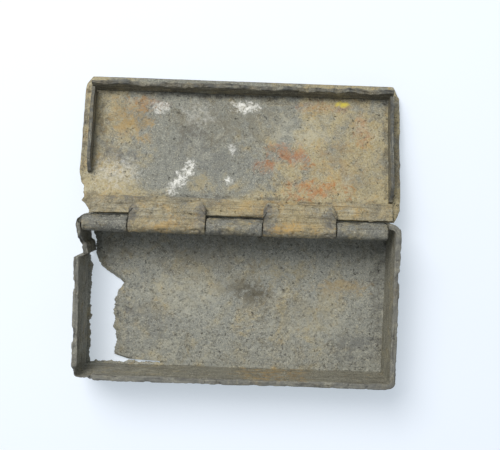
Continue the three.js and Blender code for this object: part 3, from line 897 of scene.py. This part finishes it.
def lid_plate(sizes):
    """Rings at steps from the hinge to the front: over the inner face from the left edge to the right,
    and back over the outer face. The hinge end is cut to the slope of the back wall."""
    forward = np.linspace(*PLATE_ENDS, 180) * MM
    ragged = grid(forward, 0, 0)
    broken = smoothstep(15 * MM, 10 * MM, forward)
    left = edge_line(LEFT_EDGE, forward)
    left = left + (0.1 + 0.5 * broken) * MM * (0.5 + grain(ragged, 2 * MM, 101) * 0.7)
    right = edge_line(RIGHT_EDGE, forward) - 0.12 * MM * (0.6 + grain(ragged, 2.2 * MM, 103))
    share, inner = there_and_back(320, 120)
    rings = between_edges(left, right, share, -forward)
    rings[:, :, 1] -= (1 - inner) * SLANT * (1 - smoothstep(0, 4 * MM, forward - forward[0]))[:, None]
    edge = np.minimum(rings[:, :, 0] - left[:, None], right[:, None] - rings[:, :, 0])
    round_off = PLATE_ROUND * (1 - smoothstep(0, 0.5 * MM, edge))
    rise = sizes.plate_rise
    rings[:, :, 2] = np.where(inner > 0, rise + round_off, rise + sizes.plate - round_off)
    crust = grain(rings, 4.5 * MM, 105) * 0.1 * MM + grain(rings, 1.2 * MM, 107, octaves=3) * 0.05 * MM
    pits = smoothstep(0.32, 0.85, grain(rings, 1.0 * MM, 109, octaves=3)) * 0.14 * MM
    inside, outside = pits - np.maximum(crust, -0.06 * MM), -np.abs(crust) * 0.6 - 0.02 * MM
    rings[:, :, 2] += np.where(inner > 0, inside, outside)
    return skin("lid_sheet", thrown_back(rings), wear=inner)


def lid_front(sizes):
    """The front strip: a tapered section along X, its free edge torn into a ragged line."""
    low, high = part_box("lid_front_strip")
    root = sizes.plate_rise + STRIP_SINK
    edge = root - sizes.strip
    corners = [(FRONT_OUTER, root), (FRONT_OUTER, edge), (FRONT_INNER, edge), (FRONT_ROOT, root)]
    rings = carried(loop(corners, 0.35 * MM, 70), np.linspace(low.x, high.x, 330))
    free = smoothstep(root - sizes.strip * 0.35, edge, rings[:, :, 2])
    torn = grain(rings * [1, 0.4, 0], 2.6 * MM, 111, octaves=5)
    rings[:, :, 2] += free * (0.45 + 0.75 * torn) * MM
    rings[:, :, 1] += free * 0.3 * MM * grain(rings, 1.9 * MM, 117)
    wear = smoothstep(edge + 1.1 * MM, edge + 0.2 * MM, rings[:, :, 2])
    rings = weather(rings, 113, coarse=0.14 * MM, fine=0.12 * MM, layered=True, pit=0.2 * MM)
    return skin("front_strip", thrown_back(rings), wear=wear)


def lid_side(name, side, near, sizes, seed):
    """A side strip: an upright section along Y with a ragged free edge, cut down at its hinge end near
    millimetres in front of the axis. side is -1 on the left and 1 on the right."""
    section = loop([(0, 0), (0, -1), (1, -1), (1, 0)], 0.12, 60)
    forward = np.linspace(SIDE_FAR, near, 190) * MM
    height = sizes.strip * (0.35 + 0.65 * smoothstep(near * MM, (near + 3.2) * MM, forward))
    torn = grain(grid(forward, 0, 0), 2.4 * MM, seed, octaves=4)
    height = height - (0.3 + 0.4 * torn) * MM
    x, root = side * (SIDE_X - section[:, 0] * SIDE_THICKNESS), sizes.plate_rise + STRIP_SINK
    rings = grid(x, -forward[:, None], root + section[:, 1] * height[:, None])
    wear = smoothstep(-0.75, -0.95, section[:, 1])
    rings = weather(rings, seed + 1, coarse=0.1 * MM, fine=0.07 * MM, layered=True)
    return skin(name, thrown_back(rings), wear=wear)


def lid_rail(sizes):
    """The stepped rail along the hinge side, from the crumbled corner to the right strip."""
    low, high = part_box("lid_hinge_rail")
    root = sizes.plate_rise + RAIL_SINK
    corners = [*((y, root / MM) for y in RAIL_ROOTS), *RAIL_STEPS]
    places = np.linspace(low.x - 1.5 * MM, high.x, 320)
    rings = carried(loop(np.array(corners) * MM, 0.25 * MM, 84), places)
    worn = np.maximum(grain(grid(places, 0, 0), 5 * MM, 121, octaves=4), 0)
    rings[:, :, 2] += (rings[:, :, 2] < 0.8 * MM) * (0.12 + 0.2 * worn)[:, None] * MM
    start = smoothstep(0, 2.5 * MM, places - places[0])
    rings[:, :, 2] = root + (rings[:, :, 2] - root) * (0.35 + 0.65 * start)[:, None]
    rings = weather(rings, 123, coarse=0.12 * MM, fine=0.09 * MM, layered=True, pit=0.2 * MM)
    return skin("lid_rail", thrown_back(rings))


class SNUFF_OT_lid(Operator):
    """Skins the lid's plate, its three strips and its hinge rail"""

    bl_idname = "snuff.lid"
    bl_label = "Lid"

    def execute(self, context):
        sizes = context.scene.snuff_sizes
        settle(lid_plate(sizes), "lid", ["lid_plate"], lid_plate_finish())
        dark = lid_strip_finish()
        settle(lid_front(sizes), "lid", ["lid_front_strip"], dark)
        for name, side, near, seed in (("left_strip", -1, 13.1, 131), ("right_strip", 1, 7.9, 141)):
            settle(lid_side(name, side, near, sizes, seed), "lid", ["lid_" + name], dark)
        settle(lid_rail(sizes), "lid", ["lid_hinge_rail"], rail_finish())
        return {"FINISHED"}


# Stage

# The image is 500 by 450 pixels. The point straight under the camera shows at NADIR, and the hinge
# side is turned clockwise by ROLL. SPREAD is the distance in pixels that one radian spans at the middle.
IMAGE = (500, 450)
NADIR = (241.5, 176)
SPREAD = 888
ROLL = math.radians(2.0)
CAMERA_PLACE = Vector((0.3 * MM, 30.2 * MM, 225 * MM))
SENSOR_WIDTH = 36
# The lamp's place, the point that it's aimed at, its width in metres, its power and its colour
LAMP_PLACE, LAMP_AIM = Vector((-0.27, 0.42, 0.64)), Vector((0, 0.01, 0))
LAMP_SIZE, LAMP_POWER, LAMP_COLOUR = 0.45, 7.4, (1.0, 0.98, 0.95)
# The light from all round
SKY_COLOUR, SKY_STRENGTH = (0.86, 0.92, 1.0, 1), 0.5
# The table's width in metres, how far it lies under the box, and the glow that lightens the shadows on it
TABLE_SIZE, TABLE_DROP, TABLE_GLOW = 3, 0.05 * MM, (0.36, 0.4, 0.43)


def place_camera():
    """Points the camera down so that the upright lines meet at the nadir's pixel."""
    data = bpy.data.cameras.new("Camera")
    data.sensor_width = SENSOR_WIDTH
    data.lens = SPREAD * SENSOR_WIDTH / IMAGE[0]
    down = Vector((NADIR[0] - IMAGE[0] / 2, IMAGE[1] / 2 - NADIR[1], -SPREAD)).normalized()
    up = -down
    right = Vector((math.cos(ROLL), -math.sin(ROLL), 0))
    right = (right - right.dot(up) * up).normalized()
    ahead = up.cross(right)
    camera = bpy.data.objects.new("Camera", data)
    bpy.context.scene.collection.objects.link(camera)
    camera.matrix_world = Matrix.Translation(CAMERA_PLACE) @ Matrix((right, ahead, up)).to_4x4()
    bpy.context.scene.camera = camera


def table_finish():
    """Smooth pale board with a faint cloud."""
    paints = bpy.context.scene.snuff_colours
    board = Board("Table")
    cloud = board.noise(14, 3)
    base = board.mix(board.rise(cloud, 0.2, 0.8) * 0.06, paints.table, paints.table_cloud)
    return board.shade(base, 0.6 + cloud * 0.05, 0.0, cloud, TABLE_DEPTH, TABLE_GLOW)


class SNUFF_OT_stage(Operator):
    """Adds the table, the soft light and the camera"""

    bl_idname = "snuff.stage"
    bl_label = "Stage"

    def execute(self, context):
        bpy.ops.mesh.primitive_plane_add(size=TABLE_SIZE, location=(0, 0, -TABLE_DROP))
        table = context.active_object
        table.name = "table"
        table.data.materials.append(table_finish())
        light = bpy.data.lights.new("Window light", "AREA")
        light.size = LAMP_SIZE
        light.energy = LAMP_POWER
        light.color = LAMP_COLOUR
        lamp = bpy.data.objects.new("Window light", light)
        context.scene.collection.objects.link(lamp)
        lamp.location = LAMP_PLACE
        lamp.rotation_euler = (LAMP_AIM - LAMP_PLACE).to_track_quat("-Z", "Y").to_euler()
        world = bpy.data.worlds.new("Studio")
        world.use_nodes = True
        background = world.node_tree.nodes["Background"].inputs
        background["Color"].default_value = SKY_COLOUR
        background["Strength"].default_value = SKY_STRENGTH
        context.scene.world = world
        context.scene.view_settings.view_transform = "Standard"
        place_camera()
        return {"FINISHED"}


class SNUFF_PT_sidebar(Panel):
    """Lists the steps that make the box"""

    bl_idname = "SNUFF_PT_sidebar"
    bl_label = "Snuff Box"
    bl_space_type = "VIEW_3D"
    bl_region_type = "UI"
    bl_category = "Snuff Box"

    def draw(self, context):
        for group in (context.scene.snuff_sizes, context.scene.snuff_colours):
            for name in group.__annotations__:
                self.layout.prop(group, name)
        for step in STEPS:
            self.layout.operator(step.bl_idname)


STEPS = (SNUFF_OT_stage, SNUFF_OT_walls, SNUFF_OT_floor, SNUFF_OT_hinge, SNUFF_OT_lid)
CLASSES = (SnuffSizes, SnuffColours, *STEPS, SNUFF_PT_sidebar)


def register():
    for made in CLASSES:
        bpy.utils.register_class(made)
    bpy.types.Scene.snuff_sizes = PointerProperty(type=SnuffSizes)
    bpy.types.Scene.snuff_colours = PointerProperty(type=SnuffColours)


def unregister():
    del bpy.types.Scene.snuff_colours
    del bpy.types.Scene.snuff_sizes
    for made in reversed(CLASSES):
        bpy.utils.unregister_class(made)


def main():
    """Makes the box and the stage."""
    register()
    bpy.ops.snuff.stage()
    bpy.ops.snuff.walls()
    bpy.ops.snuff.floor()
    bpy.ops.snuff.hinge()
    bpy.ops.snuff.lid()


if __name__ == "__main__":
    main()
